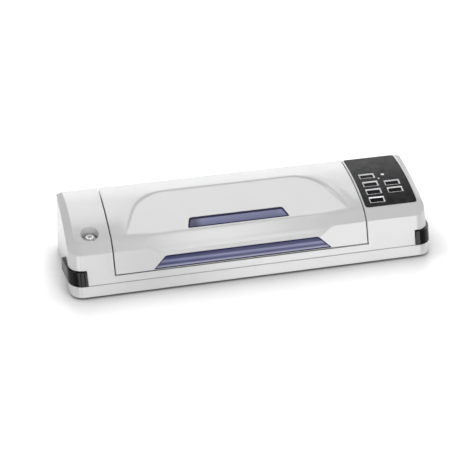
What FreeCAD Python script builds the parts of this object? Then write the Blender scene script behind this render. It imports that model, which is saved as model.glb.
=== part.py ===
import FreeCAD, Part
import math
import os

import Sketcher

# A table-top vacuum sealer. It is drawn with x from its left end, y from its front edge and z from the
# underside of its housing, in millimetres. Every piece is then placed so that the origin lies on the
# surface it stands on, at the middle of its length and depth: +X to the right, +Y to the back, +Z up.

SIZES = {
    # Housing
    "length": 486.0, "depth": 146.0, "foot_gap": 3.0, "wall": 2.5, "lean": 0.415, "end_lean": 0.042,
    "split": 12.7, "parting_high": 0.5, "parting_deep": 0.6, "deck": 21.5, "deck_skin": 3.0, "brow": 58.2,
    "back_y": 138.2, "back_z": 80.9, "arch_radius": 250.0, "rear_knee": 55.0, "corner": 18.0,
    "rear_corner": 16.0, "edge": 9.2, "inner_edge": 8.4, "rear_wall_top": 58.5, "rear_wall": 2.2,
    # Lid, its scoop and its brow
    "lid_left": 58.0, "lid_length": 340.0, "seam": 1.2, "lid_bottom": 22.8, "skirt": 60.6,
    "scoop_front": 32.0, "scoop_back": 111.0, "scoop_low": 61.9, "scoop_high": 77.6,
    "scoop_half_front": 157.0, "scoop_half_back": 118.5, "scoop_draft": 1.7, "scoop_corner": 22.0,
    "lip_y": 14.6, "lip_z": 45.0, "brow_half": 102.0, "brow_run": 24.0,
    # Hinge
    "pivot_y": 134.0, "pivot_z": 64.0, "pin": 3.0, "running_fit": 0.05, "hinge_boss": 6.0,
    "hinge_boss_length": 14.0, "tower_boss": 8.5,
    # Windows
    "front_low": 23.8, "front_high": 38.0, "front_half_low": 118.5, "front_half_high": 102.0,
    "upper_near": 4.9, "upper_far": 22.6, "upper_half_near": 66.3, "upper_half_far": 60.3,
    "window_corner": 4.5, "front_corner": 7.0, "window_skin": 2.0, "window_sink": 0.3,
    # Sealing and vacuum parts
    "trough_left": 90.0, "trough_length": 276.0, "trough_front": 50.0, "trough_width": 42.0,
    "trough_floor": 12.0, "gasket_left": 78.0, "gasket_length": 300.0, "gasket_front": 38.0,
    "gasket_depth": 66.0, "gasket_width": 6.0, "gasket_corner": 10.0, "gasket_proud": 3.0, "groove": 2.0,
    "bar_left": 74.0, "bar_length": 308.0, "bar_front": 25.0, "bar_width": 8.0, "bar_proud": 1.5,
    "wire": 0.2, "tape": 0.15, "rest_gap": 0.3, "panel_skin": 2.5,
    # Control panel and buttons
    "panel_left": 400.2, "panel_right": 472.0, "panel_front": 34.3, "panel_back": 137.0,
    "panel_proud": 0.35, "panel_sink": 1.15, "panel_corner": 4.0,
    "key_length": 17.6, "key_width": 6.6, "key_gap": 0.3, "key_sunk": 0.5, "key_deep": 6.0, "key_travel": 0.8,
    "frame_length": 21.0, "frame_width": 9.8, "frame_proud": 0.5, "frame_bevel": 1.0, "frame_gap": 0.1,
    "flange_length": 20.4, "flange_width": 9.2, "flange_skin": 1.2, "flange_top": 3.4,
    "stem": 1.5, "stem_deep": 8.5, "board_drop": 15.5, "board_skin": 1.6,
    # Latches
    "latch_low": 14.0, "latch_high": 31.0, "latch_end": 21.2, "latch_back": 58.0, "latch_skin": 3.0,
    "latch_proud": 1.4, "latch_gap": 0.6, "latch_press": 6.0, "hub_x": 30.0, "hub_y": 22.0, "hub": 4.5,
    "latch_pin": 2.0, "hook_left": 65.0, "hook_right": 386.0, "hook_width": 5.0,
    # Accessory port
    "port_x": 33.0, "port_y": 45.0, "cup": 11.6, "cup_skin": 2.0, "cup_floor": 57.0,
    "nipple": 5.0, "nipple_bore": 3.0, "nipple_top": 63.0, "nipple_tail": 45.0,
    # Pump
    "pump_x": 432.0, "pump_z": 26.0, "motor": 15.0, "motor_front": 70.0, "motor_length": 42.0,
    "shaft": 1.5, "case_width": 32.0, "case_front": 42.0, "case_length": 28.0, "case_height": 30.0,
    "case_skin": 3.0, "throw": 2.0, "eccentric": 6.0,
    # Feet and fasteners
    "foot": 8.0, "foot_seat": 0.8, "screw": 1.5, "screw_head": 3.2, "post": 4.0, "screw_boss": 5.0,
}

doc = FreeCAD.newDocument("vacuum_sealer")
sheet = doc.addObject("Spreadsheet::Sheet", "size")
for row, (alias, number) in enumerate(SIZES.items(), start=1):
    sheet.set(f"A{row}", alias)
    sheet.set(f"B{row}", str(number))
    sheet.setAlias(f"B{row}", alias)
doc.recompute()


class Dim:
    """A size together with the sheet expression that it comes from."""

    def __init__(self, value, text):
        self.value = value
        self.text = text

    def __add__(self, other):
        other = dim(other)
        return Dim(self.value + other.value, f"({self.text} + {other.text})")

    def __sub__(self, other):
        other = dim(other)
        return Dim(self.value - other.value, f"({self.text} - {other.text})")

    def __mul__(self, other):
        other = dim(other)
        return Dim(self.value * other.value, f"({self.text} * {other.text})")

    def __truediv__(self, other):
        other = dim(other)
        return Dim(self.value / other.value, f"({self.text} / {other.text})")

    def __radd__(self, other):
        return dim(other) + self

    def __rsub__(self, other):
        return dim(other) - self

    def __rmul__(self, other):
        return dim(other) * self

    def __neg__(self):
        return dim(0) - self


def dim(amount):
    """A plain number as a size, or a size as it is."""
    return amount if isinstance(amount, Dim) else Dim(float(amount), f"{float(amount):.6f}")


def root(amount):
    return Dim(math.sqrt(amount.value), f"sqrt({amount.text})")


class Sheet:
    """The sheet's cells by name."""

    def __init__(self):
        for alias in SIZES:
            setattr(self, alias, Dim(float(sheet.get(alias)), f"size.{alias}"))


s = Sheet()
V = FreeCAD.Vector
X_AXIS = V(1, 0, 0)
Y_AXIS = V(0, 1, 0)
Z_AXIS = V(0, 0, 1)
TURNS = {
    "XY": FreeCAD.Rotation(),
    "YZ": FreeCAD.Rotation(V(1, 1, 1), 120),
    "XZ": FreeCAD.Rotation(X_AXIS, 90),
}
ALONG_X = FreeCAD.Rotation(Y_AXIS, 90)
ALONG_Y = FreeCAD.Rotation(X_AXIS, -90)
ORIGIN = (0, 0, 0)
places = {}
nodes = []


# Drawing helpers

def put(obj, prop, amount):
    """Set one property and bind it to the sheet."""
    amount = dim(amount)
    obj.setExpression(prop, amount.text)
    setattr(obj, prop, amount.value)


def place(obj, at, turn=FreeCAD.Rotation()):
    """Put an object at a point, bound to the sheet, with a fixed turn."""
    x, y, z = (dim(a) for a in at)
    obj.Placement = FreeCAD.Placement(V(x.value, y.value, z.value), turn)
    for letter, amount in (("x", x), ("y", y), ("z", z)):
        obj.setExpression(f".Placement.Base.{letter}", amount.text)
    places[obj.Name] = (x, y, z, turn)
    return obj


def box(name, low, size):
    obj = doc.addObject("Part::Box", name)
    for prop, amount in zip(("Length", "Width", "Height"), size):
        put(obj, prop, amount)
    return place(obj, low)


def span(name, low, high):
    """A box between two corners."""
    return box(name, low, [dim(b) - a for a, b in zip(low, high)])


def rod(name, at, radius, height, turn=FreeCAD.Rotation()):
    obj = doc.addObject("Part::Cylinder", name)
    put(obj, "Radius", radius)
    put(obj, "Height", height)
    return place(obj, at, turn)


def cut(name, base, *tools):
    obj = doc.addObject("Part::Cut", name)
    obj.Base = base
    obj.Tool = tools[0] if len(tools) == 1 else fuse(f"{name}_tools", *tools)
    return obj


def fuse(name, *pieces):
    obj = doc.addObject("Part::MultiFuse", name)
    obj.Shapes = list(pieces)
    return obj


def common(name, *pieces):
    obj = doc.addObject("Part::MultiCommon", name)
    obj.Shapes = list(pieces)
    return obj


def group(name, *pieces):
    """Separate solids that share one node."""
    obj = doc.addObject("Part::Compound", name)
    obj.Links = list(pieces)
    return obj


def node(label, obj):
    """Name a finished piece and move it from the drawing's corner to the part's own origin."""
    x, y, z, turn = places.get(obj.Name, (dim(0), dim(0), dim(0), FreeCAD.Rotation()))
    place(obj, (x - s.length / 2, y - s.depth / 2, z + s.foot_gap), turn)
    obj.Label = label
    nodes.append(obj)
    return obj


def round_arc(start, end, radius):
    """An arc of under a half circle that bulges to the left of start to end."""
    chord = end - start
    side = V(chord.y, -chord.x, 0) / chord.Length
    centre = (start + end) / 2 + side * math.sqrt(radius**2 - (chord.Length / 2) ** 2)
    first = math.atan2(end.y - centre.y, end.x - centre.x)
    last = math.atan2(start.y - centre.y, start.x - centre.x)
    return Part.ArcOfCircle(Part.Circle(centre, Z_AXIS, radius), first, last)


def outline(drawing, points, arcs=None):
    """Draw a closed outline whose corners, and the radii of its arcs, are bound to the sheet."""
    arcs = arcs or {}
    corners = [(dim(a), dim(b)) for a, b in points]
    flat = [V(a.value, b.value, 0) for a, b in corners]
    count = len(flat)
    for i in range(count):
        start, end = flat[i], flat[(i + 1) % count]
        if i in arcs:
            drawing.addGeometry(round_arc(start, end, arcs[i].value), False)
        else:
            drawing.addGeometry(Part.LineSegment(start, end), False)
    for i in range(count):
        after = (i + 1) % count
        end_of_this = 1 if i in arcs else 2
        start_of_next = 2 if after in arcs else 1
        drawing.addConstraint(Sketcher.Constraint("Coincident", i, end_of_this, after, start_of_next))
    for i, (a, b) in enumerate(corners):
        for kind, amount in (("DistanceX", a), ("DistanceY", b)):
            which = 2 if i in arcs else 1
            rule = drawing.addConstraint(Sketcher.Constraint(kind, -1, 1, i, which, amount.value))
            drawing.setExpression(f"Constraints[{rule}]", amount.text)
    for i, radius in arcs.items():
        rule = drawing.addConstraint(Sketcher.Constraint("Radius", i, radius.value))
        drawing.setExpression(f"Constraints[{rule}]", radius.text)
    return drawing


def extrude(name, plane, points, length, at=ORIGIN, arcs=None, turn=None):
    """A straight solid on an outline. From plane XZ it grows towards the back."""
    drawing = doc.addObject("Sketcher::SketchObject", f"{name}_outline")
    place(drawing, at, turn or TURNS[plane])
    outline(drawing, points, arcs)
    obj = doc.addObject("Part::Extrusion", name)
    obj.Base = drawing
    obj.DirMode = "Normal"
    obj.Solid = True
    obj.Reversed = plane == "XZ"
    put(obj, "LengthFwd", length)
    return obj


def ease(kind, name, base, wanted, amount):
    """Fillet or chamfer the edges that a test picks out."""
    doc.recompute()
    picked = [i for i, edge in enumerate(base.Shape.Edges, start=1) if wanted(edge)]
    if not picked:
        raise RuntimeError(f"{name}: no edge to ease")
    obj = doc.addObject(f"Part::{kind}", name)
    obj.Base = base
    obj.Edges = [(i, amount.value, amount.value) for i in picked]
    return obj


def upright(edge):
    """Whether an edge is straight and runs along z."""
    return edge.Curve.TypeId == "Part::GeomLine" and abs(edge.tangentAt(edge.FirstParameter).z) > 0.999


def rounded_box(name, low, size, radius):
    return ease("Fillet", name, box(f"{name}_block", low, size), upright, radius)


def origin_plane(body, role):
    for feature in body.Origin.OriginFeatures:
        if feature.Role == role:
            return feature
    raise RuntimeError(role)


def turned(label, points, at, turn=FreeCAD.Rotation()):
    """A turned piece: an outline of radius and height, revolved about its own z axis."""
    body = doc.addObject("PartDesign::Body", label)
    drawing = body.newObject("Sketcher::SketchObject", f"{label}_outline")
    drawing.AttachmentSupport = [(origin_plane(body, "XZ_Plane"), "")]
    drawing.MapMode = "FlatFace"
    outline(drawing, points)
    revolution = body.newObject("PartDesign::Revolution", f"{label}_turn")
    revolution.Profile = drawing
    revolution.ReferenceAxis = (drawing, ["V_Axis"])
    revolution.Angle = 360
    return place(body, at, turn)


def hose(name, points, bend, radius):
    """A tube along straight runs joined by tangent arcs."""
    stops = [V(*(dim(a).value for a in point)) for point in points]
    edges = []
    start = stops[0]
    for before, corner, after in zip(stops, stops[1:], stops[2:]):
        back = (before - corner).normalize()
        ahead = (after - corner).normalize()
        reach = bend / math.tan(back.getAngle(ahead) / 2)
        middle = (back + ahead).normalize()
        depth = bend / math.sin(back.getAngle(ahead) / 2) - bend
        first, last = corner + back * reach, corner + ahead * reach
        edges.append(Part.LineSegment(start, first).toShape())
        edges.append(Part.Arc(first, corner + middle * depth, last).toShape())
        start = last
    edges.append(Part.LineSegment(start, stops[-1]).toShape())
    path = Part.Wire(edges)
    ring = Part.Wire(Part.makeCircle(radius, stops[0], stops[1] - stops[0]))
    obj = doc.addObject("Part::Feature", name)
    obj.Shape = path.makePipeShell([ring], True, False)
    return obj


# Shapes that the housing and the lid share

def side_outline(inset):
    """The side view: leaning front, arched top, sloping back."""
    front = inset * root(1 + s.lean * s.lean)
    top = s.brow - inset
    return [
        (front, 0),
        (s.lean * top + front, top),
        (s.back_y - 0.6 * dim(inset), s.back_z - inset),
        (s.depth - inset, s.rear_knee - 0.3 * dim(inset)),
        (s.depth - inset, 0),
    ]


def side_block(name, inset, left, length):
    """The side view carried along the length."""
    inset = dim(inset)
    return extrude(name, "YZ", side_outline(inset), length, (left, 0, 0), {1: s.arch_radius - inset})


def is_brow(edge):
    """Whether an edge is the long straight one between front face and top."""
    middle = edge.CenterOfMass
    straight = edge.Curve.TypeId == "Part::GeomLine"
    return straight and abs(edge.tangentAt(edge.FirstParameter).x) > 0.999 and middle.y < 35 and middle.z > 50


def housing_block(name, inset, edge_size):
    """The whole outer form, or its inside: ends lean in, corners are round, the top edge is bevelled."""
    inset = dim(inset)
    tall = 100.0
    ends = [
        (inset, 0),
        (s.length - inset, 0),
        (s.length - inset - s.end_lean * tall, tall),
        (inset + s.end_lean * tall, tall),
    ]
    side = side_block(f"{name}_side", inset, -5, s.length + 10)
    front = extrude(f"{name}_front", "XZ", ends, s.depth)
    plan = rounded_box(f"{name}_plan", (inset, -tall, 0), (s.length - 2 * inset, s.depth - inset + tall, tall),
                       s.rear_corner)
    form = common(f"{name}_form", side, front, plan)

    def is_front_corner(edge):
        middle = edge.CenterOfMass
        at_end = middle.x < 15 or middle.x > s.length.value - 15
        return at_end and middle.y < 30 and 20 < middle.z < 40

    rounded = ease("Fillet", f"{name}_rounded", form, is_front_corner, s.corner - inset)

    def is_top_edge(edge):
        middle = edge.CenterOfMass
        at_end = middle.x < 20 or middle.x > s.length.value - 20
        return middle.z > 50 and (middle.y < 35 or (at_end and middle.y < 100 and middle.z > 60))

    return ease("Chamfer", name, rounded, is_top_edge, edge_size)


outer = housing_block("outer", 0, s.edge)
inner = housing_block("inner", s.wall, s.inner_edge)
lid_right = s.lid_left + s.lid_length
HIGH = 100.0
FAR = 600.0
TOWER_LEFT = s.lid_left - s.wall
TOWER_RIGHT = lid_right + s.wall
LID_FLOOR = s.deck + 2 * s.gasket_proud + s.rest_gap
DECK_UNDER = s.deck - s.deck_skin


# Places of repeated pieces

FOOT_SPOTS = [(40, 24), (446, 24), (40, 122), (446, 122)]
SCREW_SPOTS = [(14, 72), (14, 128), (472, 72), (472, 128), (150, 16), (336, 16), (150, 125), (336, 125)]
LID_SCREW_SPOTS = [(70, 36, 60), (386, 36, 60), (80, 112, 79), (228, 112, 75.5), (376, 112, 79)]
KEY_SPOTS = {
    "button_left_1": (419, 90.5),
    "button_left_2": (419, 73.9),
    "button_left_3": (419, 59.3),
    "button_left_4": (419, 44.9),
    "button_right_1": (449, 72.3),
    "button_right_2": (449, 58.7),
}
SQUARE_LENS = (441.4, 90.5)
ROUND_LENS = (433.6, 83.0)


def arch_centre():
    """The axis of the arched top, from the front corner, the back corner and the radius."""
    start = V(s.lean.value * s.brow.value, s.brow.value, 0)
    end = V(s.back_y.value, s.back_z.value, 0)
    return round_arc(start, end, s.arch_radius.value).Center


ARCH = arch_centre()


def on_arch(x, y):
    """The point of the top above a place in plan, and the turn that makes z its normal."""
    angle = math.asin((y - ARCH.x) / s.arch_radius.value)
    height = ARCH.y + s.arch_radius.value * math.cos(angle)
    return V(x, y, height), FreeCAD.Rotation(X_AXIS, -math.degrees(angle))


def arch_box(name, spot, size, low):
    """A box square to the arched top, centred on a spot, from a depth or height along the normal."""
    point, turn = on_arch(*spot)
    length, width, height = (dim(a) for a in size)
    corner = point + turn.multVec(V(-length.value / 2, -width.value / 2, dim(low).value))
    obj = box(name, ORIGIN, size)
    return place(obj, (corner.x, corner.y, corner.z), turn)


def arch_rod(name, spot, radius, height, low):
    """A round bar square to the arched top."""
    point, turn = on_arch(*spot)
    foot = point + turn.multVec(V(0, 0, dim(low).value))
    return rod(name, (foot.x, foot.y, foot.z), radius, height, turn)


def key_holes(name, length, width, clearance):
    """Openings of one size at the six keys."""
    size = (length + 2 * clearance, width + 2 * clearance, 12)
    return [arch_box(f"{name}_{key}", spot, size, -6) for key, spot in KEY_SPOTS.items()]


def cylinders(name, spots, radius, low, high):
    return [rod(f"{name}_{i}", (x, y, low), radius, dim(high) - low) for i, (x, y) in enumerate(spots)]


# Latch levers wrap the front corners; each swings about an upright pin

def mirror_x(x, mirrored):
    return s.length - x if mirrored else dim(x)


def latch(side, mirrored):
    """A band that stands proud of the corner, a hub on the pin and an arm to the lid's hook."""
    skin = housing_block(f"{side}_band_skin", -s.latch_proud, s.edge)
    shell = cut(f"{side}_band_shell", skin, housing_block(f"{side}_band_core", s.latch_skin, s.inner_edge))
    ends = sorted((mirror_x(-10, mirrored), mirror_x(s.latch_end, mirrored)), key=lambda a: a.value)
    zone = span(f"{side}_band_zone", (ends[0], -5, s.latch_low), (ends[1], s.latch_back, s.latch_high))
    band = common(f"{side}_band", shell, zone)
    hub_x = mirror_x(s.hub_x, mirrored)
    turn = FreeCAD.Rotation(Z_AXIS, -s.latch_press.value if mirrored else s.latch_press.value)
    swung = turn.multVec(V(hub_x.value, s.hub_y.value, 0))
    place(band, (hub_x - swung.x, s.hub_y - swung.y, 0), turn)
    hub_low = s.latch_low + 0.5
    arm_high = DECK_UNDER - 1
    hook = s.hook_right if mirrored else s.hook_left
    tip = hook - 1 if mirrored else hook + s.hook_width + 1
    arm_ends = sorted((hub_x, tip), key=lambda a: a.value)
    web_ends = sorted((mirror_x(15.5, mirrored), hub_x), key=lambda a: a.value)
    root_ends = sorted((mirror_x(15.5, mirrored), mirror_x(21.7, mirrored)), key=lambda a: a.value)
    hub = rod(f"{side}_hub", (hub_x, s.hub_y, hub_low), s.hub, s.latch_high - hub_low - 1)
    arm = span(f"{side}_arm", (arm_ends[0], 18, hub_low), (arm_ends[1], 20.5, arm_high))
    web = span(f"{side}_web", (web_ends[0], 13, hub_low), (web_ends[1], s.hub_y, arm_high))
    web_root = span(f"{side}_web_root", (root_ends[0], 8.6, hub_low), (root_ends[1], s.hub_y, arm_high))
    whole = fuse(f"{side}_lever", band, hub, arm, web, web_root)
    bore = rod(f"{side}_bore", (hub_x, s.hub_y, 0), s.latch_pin + s.running_fit, HIGH)
    return node(f"latch_{side}", cut(f"{side}_latch", whole, bore))


def latch_slot(side, mirrored):
    """The gap in the housing that the band moves in."""
    gap = s.latch_gap
    ends = sorted((mirror_x(-10, mirrored), mirror_x(s.latch_end + 1.1 + gap, mirrored)), key=lambda a: a.value)
    return span(f"{side}_slot", (ends[0], -5, 0), (ends[1], s.latch_back + gap, s.latch_high + gap))


latch("left", False)
latch("right", True)
HUBS = [(s.hub_x, s.hub_y), (s.length - s.hub_x, s.hub_y)]
node("latch_pins", group("pins", *cylinders("latch_pin", HUBS, s.latch_pin, s.wall, s.latch_high + 4)))


def coil_spring(name, x, y, low, turns, radius, wire, pitch):
    """A round wire wound in half turns, each an arc that climbs half a pitch."""
    edges = []
    for half in range(2 * turns):
        spots = []
        for step in (0, 0.5, 1):
            angle = math.pi * (half + step)
            rise = low + pitch / 2 * (half + step)
            spots.append(V(x + radius * math.cos(angle), y + radius * math.sin(angle), rise))
        edges.append(Part.Arc(*spots).toShape())
    path = Part.Wire(edges)
    ring = Part.Wire(Part.makeCircle(wire, path.Vertexes[0].Point, edges[0].tangentAt(edges[0].FirstParameter)))
    obj = doc.addObject("Part::Feature", name)
    obj.Shape = path.makePipeShell([ring], True, False)
    return obj


SPRING_LOW = s.latch_high.value + 0.3
node("latch_springs", group("springs", *[
    coil_spring(f"latch_spring_{i}", x.value, y.value, SPRING_LOW, 2, 3.2, 0.5, 1.6)
    for i, (x, y) in enumerate(HUBS)]))


# Lower housing: a pan with screw bosses, vents and seats for the feet

def lower_housing():
    pan = common("pan", outer, span("pan_zone", (-10, -10, 0), (FAR, FAR, s.split)))
    hollow = common("pan_hollow", inner, span("pan_hollow_zone", (-10, -10, s.wall), (FAR, FAR, s.split + 1)))
    bosses = cylinders("screw_boss", SCREW_SPOTS, s.screw_boss, 0, s.split)
    pin_seats = cylinders("pin_seat", HUBS, s.latch_pin + 2, 0, s.split)
    whole = fuse("pan_whole", cut("pan_shell", pan, hollow), *bosses, *pin_seats)
    holes = cylinders("screw_hole", SCREW_SPOTS, s.screw + 0.3, 0, s.split)
    sinks = cylinders("screw_sink", SCREW_SPOTS, s.screw_head + 0.4, 0, 8)
    seats = cylinders("foot_seat", FOOT_SPOTS, s.foot + 0.2, 0, s.foot_seat)
    pin_holes = cylinders("pin_hole", HUBS, s.latch_pin, s.wall, s.split)
    vents = [box(f"vent_{i}", (416 + 6 * i, 76, -1), (3, 30, 5)) for i in range(6)]
    return node("lower_housing", cut("lower", whole, *holes, *sinks, *seats, *pin_holes, *vents))


lower_housing()
FOOT_OUTLINE = [
    (0, -s.foot_gap),
    (s.foot - 1.2, -s.foot_gap),
    (s.foot, 1.2 - s.foot_gap),
    (s.foot, s.foot_seat),
    (0, s.foot_seat),
]
node("rubber_feet", group("feet", *[turned(f"foot_{i}", FOOT_OUTLINE, (x, y, 0))
                                    for i, (x, y) in enumerate(FOOT_SPOTS)]))
SCREW_OUTLINE = [(0, 6), (s.screw_head, 6), (s.screw_head, 8), (s.screw, 8), (s.screw, 18), (0, 18)]
node("housing_screws", group("screws", *[turned(f"screw_{i}", SCREW_OUTLINE, (x, y, 0))
                                         for i, (x, y) in enumerate(SCREW_SPOTS)]))


# Upper housing: two towers, deck, trough and front ledge in one moulding

INLET_LOW = (438.0, 20.0)
INLET_SIZE = (24.0, 16.0)
BOARD_X = 474.0
BOARD_SKIN = 1.6
MAIN_BOARD_POSTS = [(55, 29), (111, 29), (55, 51), (111, 51)]
KEY_BOARD_MIDDLE = (434.0, 68.0)
KEY_BOARD_SIZE = (62.0, 68.0)
KEY_BOARD_POSTS = [(406.2, 40), (461.8, 40), (406.2, 96), (461.8, 96)]


def board_spot(spot):
    """A point on the button board's upper face under a place in plan, and the board's turn."""
    middle, turn = on_arch(*KEY_BOARD_MIDDLE)
    normal = turn.multVec(Z_AXIS)
    base = middle - normal * s.board_drop.value
    point, own_turn = on_arch(*spot)
    return point - normal * (point - base).dot(normal), turn


def upper_housing():
    top = common("top", outer, span("top_zone", (-10, -10, s.split), (FAR, FAR, HIGH)))
    bay = span("bay", (s.lid_left, -10, s.deck), (lid_right, s.depth - s.rear_wall, HIGH))
    bay_back = span("bay_back", (s.lid_left, s.depth - 20, s.rear_wall_top), (lid_right, FAR, HIGH))
    hollow = cut("hollow", inner, span("bay_walls", (TOWER_LEFT, -10, DECK_UNDER), (TOWER_RIGHT, FAR, HIGH)))
    shell = cut("top_shell", top, bay, bay_back, hollow)

    skin = s.wall
    trough_low = (s.trough_left - skin, s.trough_front - skin, s.trough_floor - skin)
    trough_high = (s.trough_left + s.trough_length + skin, s.trough_front + s.trough_width + skin, s.deck)
    pieces = [span("trough_walls", trough_low, trough_high)]
    spout_x = s.trough_left + s.trough_length
    pieces.append(rod("spout", (spout_x, 71, 14.5), 2.5, 14, ALONG_X))
    cup_low = s.cup_floor - s.cup_skin
    cup_body = rod("cup_body", (s.port_x, s.port_y, cup_low), s.cup + s.cup_skin, HIGH - cup_low)
    pieces.append(common("cup_wall", cup_body, outer))
    for name, x in (("left", TOWER_LEFT - s.tower_boss), ("right", TOWER_RIGHT)):
        at = (x, s.pivot_y, s.pivot_z)
        pieces.append(rod(f"{name}_tower_boss", at, s.hinge_boss, s.tower_boss, ALONG_X))
    for i, (x, y) in enumerate(SCREW_SPOTS):
        in_tower = x < TOWER_LEFT.value or x > TOWER_RIGHT.value
        high = s.split + 10 if in_tower else s.deck
        pieces.append(rod(f"post_{i}", (x, y, s.split), s.post, high - s.split))
        if in_tower:
            ends = (1.2, x) if x < TOWER_LEFT.value else (x, s.length.value - 1.2)
            pieces.append(span(f"rib_{i}", (ends[0], y - 1, s.split), (ends[1], y + 1, high)))
    for i, (y, z) in enumerate(MAIN_BOARD_POSTS):
        pieces.append(rod(f"board_post_{i}", (BOARD_X + BOARD_SKIN, y, z), 2.5, 7.5, ALONG_X))
    for i, spot in enumerate(KEY_BOARD_POSTS):
        point, turn = board_spot(spot)
        pieces.append(rod(f"key_board_post_{i}", point, 2.2, s.board_drop - 3.3, turn))
    whole = fuse("top_whole", shell, *pieces)

    holes = [span("trough", (s.trough_left, s.trough_front, s.trough_floor),
                  (s.trough_left + s.trough_length, s.trough_front + s.trough_width, HIGH))]
    holes.append(rod("spout_bore", (spout_x - 5, 71, 14.5), 1.5, 25, ALONG_X))
    holes.append(box("bar_channel", (s.bar_left, s.bar_front, s.deck - s.bar_proud),
                     (s.bar_length, s.bar_width, HIGH)))
    for name, x in (("left", s.hook_left), ("right", s.hook_right)):
        holes.append(span(f"{name}_hook_slot", (x - 1.5, 15.5, 10), (x + s.hook_width + 1.5, 24.8, HIGH)))
    holes.append(cut("groove_ring", ring_box("groove_out", 0, s.deck - s.groove, HIGH),
                     ring_box("groove_in", s.gasket_width, s.deck - s.groove, HIGH)))
    holes.append(rod("cup_hole", (s.port_x, s.port_y, s.cup_floor), s.cup, HIGH))
    holes.append(rod("nipple_hole", (s.port_x, s.port_y, 0), s.nipple, HIGH))
    bore_left = TOWER_LEFT - s.tower_boss
    holes.append(rod("pivot_bore", (bore_left, s.pivot_y, s.pivot_z), s.pin + s.running_fit,
                     TOWER_RIGHT + s.tower_boss - bore_left, ALONG_X))
    holes.append(panel_form("panel_seat", s.panel_sink, 5, 0.1))
    holes.extend(key_holes("wall_hole", s.key_length, s.key_width, s.key_gap))
    parting = span("parting_zone", (-10, -10, s.split), (FAR, FAR, s.split + s.parting_high))
    holes.append(cut("parting_groove", parting, housing_block("parting_core", s.parting_deep, s.edge)))
    holes.append(latch_slot("left", False))
    holes.append(latch_slot("right", True))
    holes.extend(cylinders("pilot", SCREW_SPOTS, s.screw + 0.05, s.split - 1, s.split + 6))
    holes.append(box("inlet_hole", (INLET_LOW[0], 130, INLET_LOW[1]), (INLET_SIZE[0], 40, INLET_SIZE[1])))
    holes.append(rod("switch_hole", (70, 112, 0), 2.4, HIGH))
    return node("upper_housing", cut("upper", whole, *holes))


def ring_box(name, inset, low, high):
    """A rounded block on the gaskets' track."""
    corner = (s.gasket_left + inset, s.gasket_front + inset, low)
    size = (s.gasket_length - 2 * dim(inset), s.gasket_depth - 2 * dim(inset), dim(high) - low)
    return rounded_box(name, corner, size, s.gasket_corner - inset)


def panel_form(name, sink, proud, spread):
    """The panel's curved slab, from a depth under the arch to a height over it."""
    left, right = s.panel_left - spread, s.panel_right + spread
    front, back = s.panel_front - spread, s.panel_back + spread
    over = side_block(f"{name}_over", -dim(proud), left - 5, right - left + 10)
    under = side_block(f"{name}_under", sink, left - 10, right - left + 20)
    block = rounded_box(f"{name}_zone", (left, front, 40), (right - left, back - front, 60), s.panel_corner)
    return common(name, cut(f"{name}_slab", over, under), block)


upper_housing()


def gasket(label, low, high):
    return node(label, cut(label, ring_box(f"{label}_out", 0.15, low, high),
                           ring_box(f"{label}_in", s.gasket_width - 0.15, low, high)))


gasket("base_gasket", s.deck - s.groove, s.deck + s.gasket_proud)
bar_top = s.deck + s.bar_proud
bar_corner = (s.bar_left + 0.2, s.bar_front + 0.1, s.deck - s.bar_proud)
node("sealing_bar", box("bar", bar_corner, (s.bar_length - 0.4, s.bar_width - 0.2, 2 * s.bar_proud)))
node("heating_wire", box("strip", (s.bar_left + 2, s.bar_front + 3, bar_top), (s.bar_length - 4, 2, s.wire)))
node("ptfe_tape", box("tape_strip", (s.bar_left + 1, s.bar_front + 1, bar_top + s.wire),
                      (s.bar_length - 2, s.bar_width - 2, s.tape)))
terminal_x = (s.bar_left - 1, s.bar_left + s.bar_length - 5)
node("wire_terminals", group("terminals", *[box(f"terminal_{i}", (x, 26, DECK_UNDER - 4), (6, 6, 4))
                                            for i, x in enumerate(terminal_x)]))
PORT_OUTLINE = [
    (s.nipple_bore, s.nipple_tail),
    (s.nipple, s.nipple_tail),
    (s.nipple, s.nipple_top - 1),
    (s.nipple - 1, s.nipple_top),
    (s.nipple_bore, s.nipple_top),
]
node("accessory_port", turned("port", PORT_OUTLINE, (s.port_x, s.port_y, 0)))


# Lid: shell with scoop, brow, windows, posts and hinge bosses

RISE = s.scoop_high - s.scoop_low
RUN = s.scoop_back - s.scoop_front
RAMP_ANGLE = math.degrees(math.atan2(RISE.value, RUN.value))
RAMP_TURN = FreeCAD.Rotation(X_AXIS, RAMP_ANGLE)
RAMP_LENGTH = root(RISE * RISE + RUN * RUN)
LID_MIDDLE = s.lid_left + s.lid_length / 2


def ramp_spot(along, up):
    """A point on the scoop's floor line, and so far square to it."""
    along, up = dim(along), dim(up)
    y = s.scoop_front + along * RUN / RAMP_LENGTH - up * RISE / RAMP_LENGTH
    z = s.scoop_low + along * RISE / RAMP_LENGTH + up * RUN / RAMP_LENGTH
    return (LID_MIDDLE, y, z)


def scoop_outline(front, back, far):
    """The scoop in plan, square to its floor: wide at the front, with two round corners at the back."""
    near, bend = dim(-14), s.scoop_corner
    run, deep = front - back, far - near
    side = root(run * run + deep * deep)
    turn_x, turn_y = back + run / side * bend, far - deep / side * bend
    points = [
        (-front, near),
        (-turn_x, turn_y),
        (bend - back, far),
        (back - bend, far),
        (turn_x, turn_y),
        (front, near),
    ]
    radius = bend * deep / (side - run)
    return points, {1: radius, 3: radius}


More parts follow.
